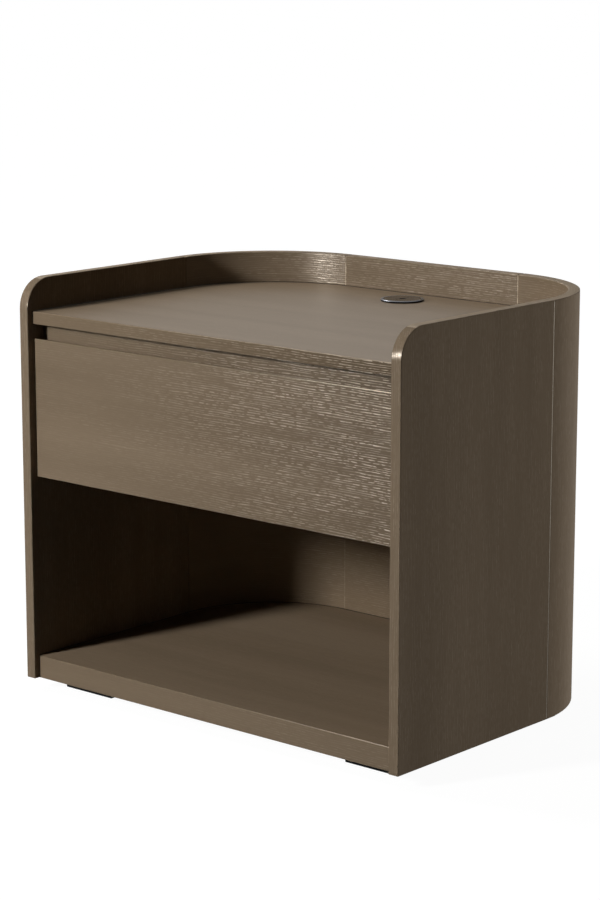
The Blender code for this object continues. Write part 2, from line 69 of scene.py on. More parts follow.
# Lamps: where they are, the point they look at, their size and their power in watts
MIDDLE = (0.0, 0.0, 0.25)
KEY = dict(where=(-0.84, -2.55, 1.23), target=MIDDLE, width=0.31, height=0.44, power=61.5)
KEY_GLINT = dict(where=(-0.95, -2.53, 0.95), target=MIDDLE, width=0.6, height=0.44, power=900.0)
OVERHEAD = dict(where=(-1.2, -0.3, 3.0), target=(-0.05, 0.0, 0.4), width=0.8, height=0.8, power=35.5)
SIDE_FILL = dict(where=(2.4, 0.45, 0.25), target=(0.3, 0.0, 0.25), width=0.8, height=0.3, power=6.7)
REAR_FILL = dict(where=(0.9, 2.5, 0.28), target=(0.2, 0.2, 0.25), width=0.8, height=0.3, power=47.0)
RIM_GLINT = dict(where=(-1.95, -0.45, 1.9), target=(0.0, 0.13, 0.48), width=0.8, height=0.8, power=160.0)
GLINT_COLOUR = (1.0, 0.88, 0.74)

# Floor and surroundings: the floor glows white, a little less near the cabinet than far from it
FLOOR_HALF = 15.0
FLOOR_COLOUR = (0.100, 0.100, 0.100)
FLOOR_GLOW = (0.955, 1.0)
FLOOR_GLOW_REACH = (0.8, 2.5)
AMBIENT = 0.005
WHITE = (1.0, 1.0, 1.0, 1.0)

# Colours, as linear red, green and blue
OAK_DARK = (0.178, 0.131, 0.085)
OAK_LIGHT = (0.216, 0.161, 0.107)
# Pale tone of the pores, partly grain and partly painted highlight, also used for painted edge
# highlights and sheen
PALE_PORE_AND_HIGHLIGHT = (0.200, 0.172, 0.140)
BOX_DARK = (0.215, 0.170, 0.118)
BOX_LIGHT = (0.285, 0.230, 0.165)
TONGUE_DARK = (0.250, 0.170, 0.095)
TONGUE_LIGHT = (0.400, 0.290, 0.170)
PLASTIC_DARK = (0.007, 0.007, 0.007)
PLASTIC_LIGHT = (0.016, 0.016, 0.016)
STEEL_DARK = (0.400, 0.410, 0.420)
STEEL_LIGHT = (0.600, 0.610, 0.620)
SCREW_DARK = (0.500, 0.480, 0.420)
SCREW_LIGHT = (0.680, 0.660, 0.600)
GUNMETAL_DARK = (0.110, 0.111, 0.117)
GUNMETAL_LIGHT = (0.160, 0.162, 0.170)
# Painted shade on the ring's upright faces
RING_WALL_SHADE = (0.006, 0.006, 0.007)
COPPER_DARK = (0.480, 0.190, 0.080)
COPPER_LIGHT = (0.700, 0.330, 0.170)
COVER_DARK = (0.010, 0.010, 0.011)
COVER_LIGHT = (0.018, 0.018, 0.019)
CIRCUIT_DARK = (0.012, 0.085, 0.034)
CIRCUIT_LIGHT = (0.030, 0.160, 0.070)
RUBBER_DARK = (0.480, 0.480, 0.460)
RUBBER_LIGHT = (0.620, 0.620, 0.600)
# Seam beads: their pale colour is a painted highlight; the niche's dimmer copy is painted shade, and the
# outer one's highlight fades towards the floor
SEAM_HIGHLIGHT_DARK = (0.310, 0.240, 0.170)
SEAM_HIGHLIGHT_LIGHT = (0.780, 0.650, 0.490)
NICHE_SEAM_SHADE_DARK = (0.200, 0.150, 0.100)
NICHE_SEAM_SHADE_LIGHT = (0.300, 0.230, 0.160)
OUTER_SEAM_HIGHLIGHT_DARK = (0.680, 0.580, 0.450)
OUTER_SEAM_HIGHLIGHT_LIGHT = (0.870, 0.770, 0.630)
# Painted shadow line where the shelves meet the wrap
JOINT_SHADOW_DARK = (0.045, 0.034, 0.023)
JOINT_SHADOW_LIGHT = (0.070, 0.054, 0.038)
INK_DARK = (0.003, 0.003, 0.005)
INK_LIGHT = (0.007, 0.007, 0.010)

# Values between which most of a noise lies
NOISE_MIDDLE = 0.5
NOISE_SPAN = (0.3, 0.7)
NARROW_SPAN = (0.35, 0.65)

# Limits of a surface's normal: of a level face, where grain turns, of an eased edge, of the ring's top
LEVEL_LIMIT = 0.97
TURN_LIMIT = 0.6
EASED_LIMIT = 0.2
RING_LIMIT = 0.3

# Veneer: the sizes of its markings along and across the grain
BAND_SIZE = (1.2, 0.07)
PATCH_SIZE = (0.10, 0.016)
PORE_SIZE = (0.008, 0.0020)
STRENGTH_SIZE = (0.014, 0.005)
STREAK_SIZE = (0.060, 0.0020)
SWING_SIZE = (0.06, 0.007)
FIBRE_SIZE = (0.017, 0.0007)
WANDER_SIZE = (0.2, 0.05)
PORE_PITCH = 0.0028

# Veneer: values between which its markings fade in
ROW_EDGE = (0.3, 0.95)
DASH_EDGE = (0.42, 0.54)
STREAK_EDGE = (0.52, 0.62)
PATCH_EDGE = (0.36, 0.52)

# Veneer: how strong its markings are
WANDER = 0.0012
PORE_SWING = 9.0
PORE_STRENGTH = (0.5, 1.2)
PORE_DEPTH = 0.0002
# Pale tone of the pores: partly the grain's, partly painted highlight
PORE_AND_HIGHLIGHT_TONE = 1.45
STREAK_SHARE = 0.6
PATCH_SHARE = (0.4, 1.15)
FIBRE_SHADE = (0.97, 1.03)
# Painted shade: how much darker the ground is where the painted highlights lie
GROUND_SHADE = 0.3
BASE_RELIEF = 0.5
VENEER_ROUGHNESS = (0.50, 0.40)

# Veneer: how strong the pale pores are, as painted highlights. They grow along a level sheet and up it,
# and round a corner's bend, towards where highlights fall
SHEET_ENDS = (-0.24, 0.26)
SHEET_START = 0.08
SHEET_HEIGHT = 0.46
SHEET_RISE = (0.15, 1.25)
SHEET_GROWTH = 1.7
SHELF_HIGHLIGHTS = 0.1
SIDE_FIGURE = 0.2
BACK_HIGHLIGHTS = (0.2, 0.42)
CORNER_HIGHLIGHTS = (0.1, 0.75)
CORNER_HIGHLIGHT_SPAN = (0.3, 0.9)
NICHE_HIGHLIGHTS = 0.3

# Veneer: light and shade painted on single boards. An edge highlight is a painted highlight on a board's
# edge, given by its pale tone at the right end and how fast it grows
# Painted light: the bottom's level face is made lighter
BOTTOM_PAINTED_LIGHT = 1.42
# Painted shade: the recessed strip under the top is made darker
RAIL_PAINTED_SHADE = 0.9
# Painted sheen: a pale tone all over the rim's level face
RIM_PAINTED_SHEEN = 1.05
NO_EDGE_HIGHLIGHT = (0.0, 1.0)
FRONT_EDGE_HIGHLIGHT = (3.0, 3.5)
TOP_EDGE_HIGHLIGHT = (1.1, 1.0)
BOTTOM_EDGE_HIGHLIGHT = (1.0, 3.0)
RIM_EDGE_HIGHLIGHT = (0.9, 1.0)

# Lacquer over the veneer: its weight and its roughness
LACQUER = 0.1
TOP_LACQUER = 0.8
RIM_LACQUER = 0.0
NICHE_LACQUER = 0.01
CORNER_LACQUER = 0.17
LACQUER_ROUGHNESS = 0.25
TOP_ROUGHNESS = 0.5
SIDE_ROUGHNESS = 0.22
CORNER_ROUGHNESS = 0.3

# Other finishes: noise cells to the metre, ranges of roughness, depths of relief and specular levels
BOARD_BANDS = (1.5, 40.0, 40.0)
BOARD_PORES = (60.0, 1300.0, 1300.0)
BOARD_PORE_EDGE = (0.32, 0.46)
BOARD_PORE_SHADE = (0.84, 1.0)
BOARD_ROUGHNESS = (0.62, 0.46)
BOARD_RELIEF = 0.0001
BOARD_SPECULAR = 0.3
MOULD_GRAIN = 1900.0
MOULD_PATCHES = 45.0
MOULD_ROUGHNESS = (0.42, 0.60)
MOULD_RELIEF = 0.00006
FOOT_SPECULAR = 0.05
CHARGER_SPECULAR = 0.4
STEEL_LINES = (900.0, 12.0, 900.0)
STEEL_ROUGHNESS = (0.23, 0.39)
SCREW_LINES = (400.0, 400.0, 400.0)
SCREW_ROUGHNESS = (0.25, 0.41)
PLATING_CLOUDS = 120.0
PLATING_RELIEF = 0.00002
TURNED_RINGS = 5000.0
TURNED_ROUGHNESS = (0.25, 0.38)
TURNED_RELIEF = 0.00001
COVER_HAZE = 90.0
COVER_GRAIN = 700.0
COVER_ROUGHNESS = (0.08, 0.18)
COVER_RELIEF = 0.000004
RUBBER_DUST = 800.0
RUBBER_ROUGHNESS = (0.5, 0.7)
RUBBER_RELIEF = 0.00003
RUBBER_SPECULAR = 0.35
CIRCUIT_CELLS = 260.0
CIRCUIT_TRACK = 0.05
CIRCUIT_GRAIN = 900.0
CIRCUIT_ROUGHNESS = (0.38, 0.50)
CIRCUIT_RELIEF = 0.00003
FILLER_CLOUDS = 350.0
FILLER_SANDING = (2500.0, 2500.0, 300.0)
FILLER_ROUGHNESS = (0.35, 0.50)
FILLER_RELIEF = 0.00002
FILLER_SPECULAR = 0.3
DIM_SPECULAR = 0.1
INK_COVER = 1500.0
INK_ROUGHNESS = (0.6, 0.8)
INK_RELIEF = 0.00001

# Beads in the seams of the wrap: points across the seam and below the surface, in millimetres
BEAD_PROFILE = (
    (-0.55, 0.20), (-0.30, 0.12), (0.0, 0.09), (0.30, 0.12), (0.55, 0.20), (0.26, 0.42), (-0.26, 0.42),
)
BEAD_END = 0.0015
# Outer seams' painted highlight: its share at the floor, and the heights between which it fades in
OUTER_SEAM_FLOOR_TONE = 0.45
HIGHLIGHT_FADE_HEIGHT = (0.1, 0.45)

# Beads round the shelves, which paint a shadow line
JOINT_SIZE = 0.0009
JOINT_FLAT = 0.6
JOINT_STEPS = 24

# Charging mark: a plain bolt about the disc's middle, in millimetres
BOLT = ((1.8, 10.5), (-4.7, -1.8), (-0.6, -1.8), (-1.8, -10.5), (4.7, 1.8), (0.6, 1.8))
MARK_SINK = 0.00002
MARK_RISE = 0.00008
MILLIMETRE = 0.001

# Screws: a pan head with a cross recess on a threaded shank
SCREW_STEPS = 24
HEAD_RADIUS = 0.0030
HEAD_HEIGHT = 0.0016
SHANK_RADIUS = 0.0017
THREAD_ROOT = 0.00135
THREAD_PITCH = 0.0012
RECESS_REACH = 0.0017
RECESS_WIDTH = 0.0007
RECESS_DEPTH = 0.0011
RECESS_TAPER = 0.55

# Screws: shares of the thread's pitch, and of the head's radius and height
ROOT_END = 0.3
CREST = 0.65
HEAD_WALL = 0.35
HEAD_SHOULDER = (0.9, 0.75)
HEAD_CROWN = 0.7

# Shading of the CAD nodes
SMOOTH_ANGLE = math.radians(50)
WELD = 0.00001
NORMAL_WEIGHT = 100

# Sockets of a mix node by number, since their names repeat: its factor and two values, and its result
VECTOR_MIX = (0, 4, 5)
VECTOR_RESULT = 1
COLOUR_MIX = (0, 6, 7)
COLOUR_RESULT = 2


def add(tree, kind, inputs=None, **settings):
    """A node with its settings, and with its inputs set to values or linked to other nodes' sockets."""
    node = tree.nodes.new(kind)
    for name, value in settings.items():
        setattr(node, name, value)
    for name, value in (inputs or {}).items():
        if isinstance(value, bpy.types.NodeSocket):
            tree.links.new(value, node.inputs[name])
        else:
            node.inputs[name].default_value = value
    return node


def calculate(tree, operation, first, second=0.0):
    """The result of a calculation with two numbers, which are values or sockets."""
    return add(tree, "ShaderNodeMath", {0: first, 1: second}, operation=operation).outputs[0]


def plus(tree, first, second):
    return calculate(tree, "ADD", first, second)


def minus(tree, first, second):
    return calculate(tree, "SUBTRACT", first, second)


def times(tree, first, second):
    return calculate(tree, "MULTIPLY", first, second)


def hypotenuse(tree, first, second):
    squares = [times(tree, side, side) for side in (first, second)]
    return calculate(tree, "SQRT", plus(tree, *squares))


def combine(tree, operation, first, second):
    """The result of a calculation with two vectors or colours, which are values or sockets."""
    node = add(tree, "ShaderNodeVectorMath", {0: first, 1: second}, operation=operation)
    return node.outputs["Vector"]


def stretch(tree, vector, factors):
    """A vector with each of its parts multiplied by a factor."""
    return combine(tree, "MULTIPLY", vector, factors)


def shaded(tree, colour, strength):
    """A colour made lighter or darker by a factor."""
    node = add(tree, "ShaderNodeVectorMath", {0: colour, "Scale": strength}, operation="SCALE")
    return node.outputs["Vector"]


def split(tree, vector):
    return add(tree, "ShaderNodeSeparateXYZ", {"Vector": vector}).outputs


def join(tree, x, y, z):
    return add(tree, "ShaderNodeCombineXYZ", {"X": x, "Y": y, "Z": z}).outputs["Vector"]


def choose(tree, factor, first, second):
    """The first vector where factor is 0 and the second where it is 1."""
    inputs = dict(zip(VECTOR_MIX, (factor, first, second)))
    return add(tree, "ShaderNodeMix", inputs, data_type="VECTOR").outputs[VECTOR_RESULT]


def blend(tree, factor, dark, light):
    """A colour between two colours, which are values or sockets."""
    ends = [(*colour, 1.0) if isinstance(colour, tuple) else colour for colour in (dark, light)]
    inputs = dict(zip(COLOUR_MIX, (factor, *ends)))
    return add(tree, "ShaderNodeMix", inputs, data_type="RGBA").outputs[COLOUR_RESULT]


def noise(tree, vector, detail, scale=1.0, output="Fac"):
    """The value of a noise, or another of its outputs. Detail is how many finer layers it has."""
    inputs = {"Vector": vector, "Scale": scale, "Detail": detail}
    return add(tree, "ShaderNodeTexNoise", inputs).outputs[output]


def along_grain(tree, place, size, detail=1.0, output="Fac"):
    """Noise whose cells have a length along the grain and a width across it."""
    length, width = size
    return noise(tree, stretch(tree, place, (1 / length, 1 / width, 1 / width)), detail, output=output)


def spread(tree, value, low, high, to_low=0.0, to_high=1.0):
    """Maps a value between two limits to another range, held at the range's ends."""
    inputs = {"Value": value, "From Min": low, "From Max": high, "To Min": to_low, "To Max": to_high}
    return add(tree, "ShaderNodeMapRange", inputs).outputs["Result"]


def between(tree, share, at_zero, at_one):
    """A value that goes from one to another as a share goes from 0 to 1."""
    return spread(tree, share, 0.0, 1.0, at_zero, at_one)


def over_noise(tree, value, ends):
    """A noise spread over a range."""
    return spread(tree, value, *NOISE_SPAN, *ends)


def new_material(name, metallic=0.0, specular=0.5):
    """A material, with its node tree and its shader."""
    material = bpy.data.materials.new(name)
    material.use_nodes = True
    tree = material.node_tree
    shader = tree.nodes["Principled BSDF"]
    shader.inputs["Metallic"].default_value = metallic
    shader.inputs["Specular IOR Level"].default_value = specular
    return material, tree, shader


def relief(tree, height, depth):
    """A surface's normal over a relief from 0 to a depth."""
    inputs = {"Height": height, "Distance": depth, "Strength": 1.0}
    return add(tree, "ShaderNodeBump", inputs).outputs["Normal"]


def finish_surface(tree, shader, colour, roughness, height, depth):
    """Links a surface's colour, roughness and relief."""
    tree.links.new(colour, shader.inputs["Base Color"])
    tree.links.new(roughness, shader.inputs["Roughness"])
    tree.links.new(relief(tree, height, depth), shader.inputs["Normal"])


def object_place(tree):
    """Where a point lies in its object, which for a CAD node is its place in the frame."""
    return add(tree, "ShaderNodeTexCoord").outputs["Object"]


def face_normal(tree):
    """The normal of a facet, with neither smooth shading nor relief."""
    return add(tree, "ShaderNodeNewGeometry").outputs["True Normal"]


def facing(tree, axis, limit):
    """1 where the surface faces along an axis of the frame by more than a limit, else 0."""
    return calculate(tree, "GREATER_THAN", split(tree, face_normal(tree))[axis], limit)


def level_face(tree):
    """1 where the surface looks straight up, else 0."""
    return facing(tree, "Z", LEVEL_LIMIT)


def upper_edge(tree):
    """1 on the eased upper front edge of a board, and 0 on its flat faces."""
    _, y, z = split(tree, face_normal(tree))
    raised = calculate(tree, "GREATER_THAN", z, EASED_LIMIT)
    tilted = calculate(tree, "LESS_THAN", z, LEVEL_LIMIT)
    front = calculate(tree, "LESS_THAN", y, 0.0)
    return times(tree, times(tree, raised, tilted), front)


def inward(tree):
    """1 where the surface looks at the middle of the cabinet from a wall round it, else 0."""
    plan = stretch(tree, object_place(tree), (1.0, 1.0, 0.0))
    node = add(tree, "ShaderNodeVectorMath", {0: face_normal(tree), 1: plan}, operation="DOT_PRODUCT")
    return calculate(tree, "LESS_THAN", node.outputs["Value"], 0.0)


def in_gallery(tree):
    """1 above the top panel, else 0."""
    _, _, z = split(tree, object_place(tree))
    return calculate(tree, "GREATER_THAN", z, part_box("top_panel")[1].z)


def wall_coat(tree):
    """The coat's weight on a wall, which is thinner on its inner face below the top."""
    niche = times(tree, inward(tree), minus(tree, 1.0, in_gallery(tree)))
    return between(tree, niche, LACQUER, NICHE_LACQUER)


def side_coat(tree):
    """The coat's weight on a side, which is thinner on all of its inner face."""
    return between(tree, inward(tree), LACQUER, NICHE_LACQUER)


def corner_coat(tree):
    """The coat's weight on a corner: a wall's, with more of it on the inner face above the top."""
    gallery = times(tree, inward(tree), in_gallery(tree))
    return between(tree, gallery, wall_coat(tree), CORNER_LACQUER)


def grain_along_x(tree):
    return object_place(tree)


def grain_along_y(tree):
    x, y, z = split(tree, object_place(tree))
    return join(tree, y, x, z)


def grain_along_z(tree):
    x, y, z = split(tree, object_place(tree))
    return join(tree, z, x, y)


def side_grain(tree):
    """Upright on a side's faces and front edge, and along the edge on top."""
    return choose(tree, facing(tree, "Z", TURN_LIMIT), grain_along_z(tree), grain_along_y(tree))


def back_grain(tree):
    """Level on the back's inner face and upper edge, and upright on its outer face."""
    return choose(tree, facing(tree, "Y", TURN_LIMIT), grain_along_x(tree), grain_along_z(tree))


def bend_sizes():
    """The axis of the right rear corner's bend on the plan, and the bend's middle and inner radius."""
    low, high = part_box("right_rear_corner")
    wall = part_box("right_side_panel")
    radius = high.y - low.y
    thickness = wall[1].x - wall[0].x
    return Vector((high.x - radius, high.y - radius)), radius - thickness / 2, radius - thickness


def bend(tree):
    """Length round a corner's bend, measured at its middle radius, and distance from the bend's axis."""
    axis, middle, _ = bend_sizes()
    x, y, _ = split(tree, object_place(tree))
    across = minus(tree, calculate(tree, "ABSOLUTE", x), axis.x)
    depth = minus(tree, y, axis.y)
    angle = calculate(tree, "ARCTAN2", depth, across)
    return times(tree, angle, middle), hypotenuse(tree, across, depth)


def corner_grain(tree):
    """Round the bend on a corner's inner face and upper edge, and upright on its outer face."""
    _, middle, _ = bend_sizes()
    arc, distance = bend(tree)
    _, _, z = split(tree, object_place(tree))
    outer = calculate(tree, "GREATER_THAN", distance, middle)
    flat = minus(tree, 1.0, facing(tree, "Z", TURN_LIMIT))
    upright = times(tree, outer, flat)
    return choose(tree, upright, join(tree, arc, distance, z), join(tree, z, arc, distance))


def highlight_along(tree):
    """From near 0 at the left end of a level sheet to 1 at its right end."""
    x, _, _ = split(tree, object_place(tree))
    along = calculate(tree, "POWER", spread(tree, x, *SHEET_ENDS), SHEET_GROWTH)
    return between(tree, along, SHEET_START, 1.0)


def painted_highlight_figure(tree):
    """Painted highlights: pale pores that grow from the lower left of a level sheet to its upper right.
    """
    _, _, z = split(tree, object_place(tree))
    return times(tree, highlight_along(tree), spread(tree, z, 0.0, SHEET_HEIGHT, *SHEET_RISE))


def shelf_pores_and_highlights(tree):
    """A shelf's quiet upper face, with the painted highlights of the other level sheets on its front
    edge.
    """
    return between(tree, level_face(tree), painted_highlight_figure(tree), SHELF_HIGHLIGHTS)


def back_pores_and_highlights(tree):
    """Pale pores on the back's inner face, partly grain and partly painted highlight, stronger above the
    top. Its outer face is as a side's.
    """
    opened = between(tree, in_gallery(tree), *BACK_HIGHLIGHTS)
    return between(tree, inward(tree), SIDE_FIGURE, opened)


def corner_pores_and_highlights(tree):
    """Painted highlights: pale pores that grow round the bend of a corner's inner face, weaker below the
    top. Its outer face is as a side's.
    """
    _, middle, _ = bend_sizes()
    arc, _ = bend(tree)
    start, end = (math.pi / 2 * middle * share for share in CORNER_HIGHLIGHT_SPAN)
    opening = spread(tree, arc, start, end, *CORNER_HIGHLIGHTS)
    opened = times(tree, opening, between(tree, in_gallery(tree), NICHE_HIGHLIGHTS, 1.0))
    return between(tree, inward(tree), SIDE_FIGURE, opened)


def wandering(tree, place):
    """A place moved a little across the grain, so that the markings don't run dead straight."""
    wander = along_grain(tree, place, WANDER_SIZE, output="Color")
    centred = combine(tree, "SUBTRACT", wander, (NOISE_MIDDLE, NOISE_MIDDLE, NOISE_MIDDLE))
    return combine(tree, "ADD", place, stretch(tree, centred, (0.0, WANDER, WANDER)))


def pore_rows(tree, place):
    """Thin rows of open pores, broken into dashes and streaks. 0 between them and 1 in them."""
    _, first, second = split(tree, place)
    across = times(tree, plus(tree, first, second), 2 * math.pi / PORE_PITCH)
    swing = times(tree, along_grain(tree, place, SWING_SIZE), PORE_SWING)
    rows = spread(tree, calculate(tree, "SINE", plus(tree, across, swing)), *ROW_EDGE)
    dashes = spread(tree, along_grain(tree, place, PORE_SIZE), *DASH_EDGE)
    strength = spread(tree, along_grain(tree, place, STRENGTH_SIZE), *NARROW_SPAN, *PORE_STRENGTH)
    streaks = spread(tree, along_grain(tree, place, STREAK_SIZE), *STREAK_EDGE, 0.0, STREAK_SHARE)
    broken = calculate(tree, "MAXIMUM", times(tree, dashes, strength), streaks)
    return times(tree, rows, broken)


def stained_ground(tree, place, fibres, figure, tone, painted_level_light):
    """The stain between the pores: broad bands and fine fibres, with painted shade that darkens it where
    the painted highlights lie.
    """
    bands = along_grain(tree, place, BAND_SIZE, detail=4.0)
    stain = blend(tree, spread(tree, bands, *NARROW_SPAN), OAK_DARK, OAK_LIGHT)
    darker = times(tree, figure, -GROUND_SHADE)
    shade = plus(tree, darker, over_noise(tree, fibres, FIBRE_SHADE))
    # Painted light: level faces get their own factor, which makes the bottom's lighter
    return shaded(tree, stain, times(tree, shade, between(tree, level_face(tree), tone, painted_level_light)))


def painted_edge_highlight(tree, edge):
    """A painted highlight on a board's eased upper front edge: how pale it is, and 0 elsewhere."""
    tone, growth = edge
    highlight = times(tree, calculate(tree, "POWER", highlight_along(tree), growth), tone)
    return times(tree, upper_edge(tree), highlight)


def lacquer(tree, shader, height, depth, roughness, coat, upper):
    """A clear coat that follows the open pores more sharply than the colour under it does.

    Coat is its weight, and upper is its weight on level faces, where it gathers.
    """
    if upper == coat:
        shader.inputs["Coat Weight"].default_value = coat
    else:
        general = coat(tree) if callable(coat) else coat
        weight = between(tree, level_face(tree), general, upper)
        tree.links.new(weight, shader.inputs["Coat Weight"])
    shader.inputs["Coat Roughness"].default_value = roughness
    tree.links.new(relief(tree, height, depth), shader.inputs["Coat Normal"])


def veneer(
    name, grain, figure, coat=LACQUER, upper=LACQUER, gloss=LACQUER_ROUGHNESS, tone=1.0, painted_level_light=1.0,
    painted_sheen=0.0, edge=NO_EDGE_HIGHLIGHT,
):
    """Satin lacquered oak veneer: broad tone bands, and patches of fine pale pores along the grain.

    Grain gives a place whose X runs along the grain, and figure is how strong the pale pores are, which
    are partly the grain's own tone and partly painted highlight laid towards where highlights fall.
    Coat, upper and gloss are the lacquer's weights and roughness. Tone is the stain's strength, below 1
    on the rail as painted shade. The level-face factor is the same on a board's level face, as painted
    light, and the sheen factor is how much of the pores' pale tone lies all over that face, as a painted
    sheen. Edge is a painted highlight on a board's upper front edge.
    """
    material, tree, shader = new_material(name, specular=0.0)
    place = wandering(tree, grain(tree))
    patches = along_grain(tree, place, PATCH_SIZE, detail=2.0)
    fibres = along_grain(tree, place, FIBRE_SIZE)
    figure = figure(tree) if callable(figure) else figure
    open_share = times(tree, spread(tree, patches, *PATCH_EDGE, *PATCH_SHARE), figure)
    pores = times(tree, pore_rows(tree, place), open_share)
    # Painted highlight on the upper front edge, and painted sheen on level faces
    painted_highlights = plus(tree, painted_edge_highlight(tree, edge), times(tree, level_face(tree), painted_sheen))
    # Pale pores, partly grain and partly painted highlight
    pale = plus(tree, times(tree, pores, PORE_AND_HIGHLIGHT_TONE), painted_highlights)
    ground = stained_ground(tree, place, fibres, figure, tone, painted_level_light)
    colour = combine(tree, "ADD", ground, shaded(tree, PALE_PORE_AND_HIGHLIGHT, pale))
    roughness = over_noise(tree, fibres, VENEER_ROUGHNESS)
    height = times(tree, pores, -1.0)
    finish_surface(tree, shader, colour, roughness, height, PORE_DEPTH * BASE_RELIEF)
    lacquer(tree, shader, height, PORE_DEPTH, gloss, coat, upper)
    return material


def board(name, grain, dark, light):
    """Plain wooden board, more open and matt than the veneer."""
    material, tree, shader = new_material(name, specular=BOARD_SPECULAR)
    place = grain(tree)
    bands = noise(tree, stretch(tree, place, BOARD_BANDS), detail=5.0)
    pores = noise(tree, stretch(tree, place, BOARD_PORES), detail=2.0)
    tone = blend(tree, spread(tree, bands, *NOISE_SPAN), dark, light)
    colour = shaded(tree, tone, spread(tree, pores, *BOARD_PORE_EDGE, *BOARD_PORE_SHADE))
    finish_surface(tree, shader, colour, over_noise(tree, pores, BOARD_ROUGHNESS), pores, BOARD_RELIEF)
    return material


def moulded_plastic(name, specular):
    """Black plastic with the fine even grain of a spark-finished mould."""
    material, tree, shader = new_material(name, specular=specular)
    place = object_place(tree)
    grain = noise(tree, place, detail=3.0, scale=MOULD_GRAIN)
    patches = noise(tree, place, detail=2.0, scale=MOULD_PATCHES)
    colour = blend(tree, patches, PLASTIC_DARK, PLASTIC_LIGHT)
    finish_surface(tree, shader, colour, over_noise(tree, grain, MOULD_ROUGHNESS), grain, MOULD_RELIEF)
    return material


def rolled_metal(name, dark, light, cells, roughness):
    """Metal with fine drawn lines and a cloudy plated tone."""
    material, tree, shader = new_material(name, metallic=1.0)
    place = object_place(tree)
    lines = noise(tree, stretch(tree, place, cells), detail=3.0)
    clouds = noise(tree, place, detail=3.0, scale=PLATING_CLOUDS)
    colour = blend(tree, clouds, dark, light)
    finish_surface(tree, shader, colour, over_noise(tree, lines, roughness), lines, PLATING_RELIEF)
    return material


def turned_metal(name, dark, light, wall=None):
    """Metal with the fine rings that turning leaves, about the charging disc's axis.

    Wall is a near black for its upright faces, painted shade standing in for the dark they mirror.
    """
    material, tree, shader = new_material(name, metallic=1.0)
    x, y, z = split(tree, object_place(tree))
    low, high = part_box("charger_cover")
    depth = minus(tree, y, (low.y + high.y) / 2)
    radius = times(tree, hypotenuse(tree, x, depth), TURNED_RINGS)
    angle = calculate(tree, "ARCTAN2", depth, x)
    rings = noise(tree, join(tree, radius, angle, z), detail=2.0)
    colour = blend(tree, rings, dark, light)
    if wall:
        colour = blend(tree, facing(tree, "Z", RING_LIMIT), wall, colour)
    finish_surface(tree, shader, colour, over_noise(tree, rings, TURNED_ROUGHNESS), rings, TURNED_RELIEF)
    return material


def gloss_cover(name):
    """Smooth black cover with a faint haze from handling."""
    material, tree, shader = new_material(name)
    place = object_place(tree)
    haze = noise(tree, place, detail=4.0, scale=COVER_HAZE)
    grain = noise(tree, place, detail=2.0, scale=COVER_GRAIN)
    colour = blend(tree, haze, COVER_DARK, COVER_LIGHT)
    finish_surface(tree, shader, colour, over_noise(tree, haze, COVER_ROUGHNESS), grain, COVER_RELIEF)
    return material


def soft_rubber(name):
    """Milky soft pad with a slightly dusty surface."""
    material, tree, shader = new_material(name, specular=RUBBER_SPECULAR)
    dust = noise(tree, object_place(tree), detail=3.0, scale=RUBBER_DUST)
    colour = blend(tree, dust, RUBBER_DARK, RUBBER_LIGHT)
    finish_surface(tree, shader, colour, over_noise(tree, dust, RUBBER_ROUGHNESS), dust, RUBBER_RELIEF)
    return material


def circuit_board(name):
    """Green lacquered board with copper tracks that show as lighter lines."""
    material, tree, shader = new_material(name)
    place = object_place(tree)
    inputs = {"Vector": place, "Scale": CIRCUIT_CELLS, "Mortar Size": CIRCUIT_TRACK}
    tracks = add(tree, "ShaderNodeTexBrick", inputs).outputs["Fac"]
    grain = noise(tree, place, detail=2.0, scale=CIRCUIT_GRAIN)
    colour = blend(tree, tracks, CIRCUIT_DARK, CIRCUIT_LIGHT)
    roughness = over_noise(tree, grain, CIRCUIT_ROUGHNESS)
    finish_surface(tree, shader, colour, roughness, tracks, CIRCUIT_RELIEF)
    return material


def painted_bead(name, dark, light, specular, floor_tone=1.0):
    """Slightly cloudy bead with a fine sanded surface, whose colour is painted light or shade. The last
    argument is its tone at the floor, from which it grows to full higher up, so that a painted highlight
    fades downwards.
    """
    material, tree, shader = new_material(name, specular=specular)
    place = object_place(tree)
    clouds = noise(tree, place, detail=2.0, scale=FILLER_CLOUDS)
    sanding = noise(tree, stretch(tree, place, FILLER_SANDING), detail=2.0)
    cloudy = blend(tree, spread(tree, clouds, *NARROW_SPAN), dark, light)
    _, _, z = split(tree, place)
    colour = shaded(tree, cloudy, spread(tree, z, *HIGHLIGHT_FADE_HEIGHT, floor_tone, 1.0))
    roughness = over_noise(tree, sanding, FILLER_ROUGHNESS)
    finish_surface(tree, shader, colour, roughness, sanding, FILLER_RELIEF)
    return material


def printed_ink(name):
    """Matt black print with slightly uneven cover."""
    material, tree, shader = new_material(name, specular=0.0)
    cover = noise(tree, object_place(tree), detail=3.0, scale=INK_COVER)
    colour = blend(tree, cover, INK_DARK, INK_LIGHT)
    finish_surface(tree, shader, colour, over_noise(tree, cover, INK_ROUGHNESS), cover, INK_RELIEF)
    return material


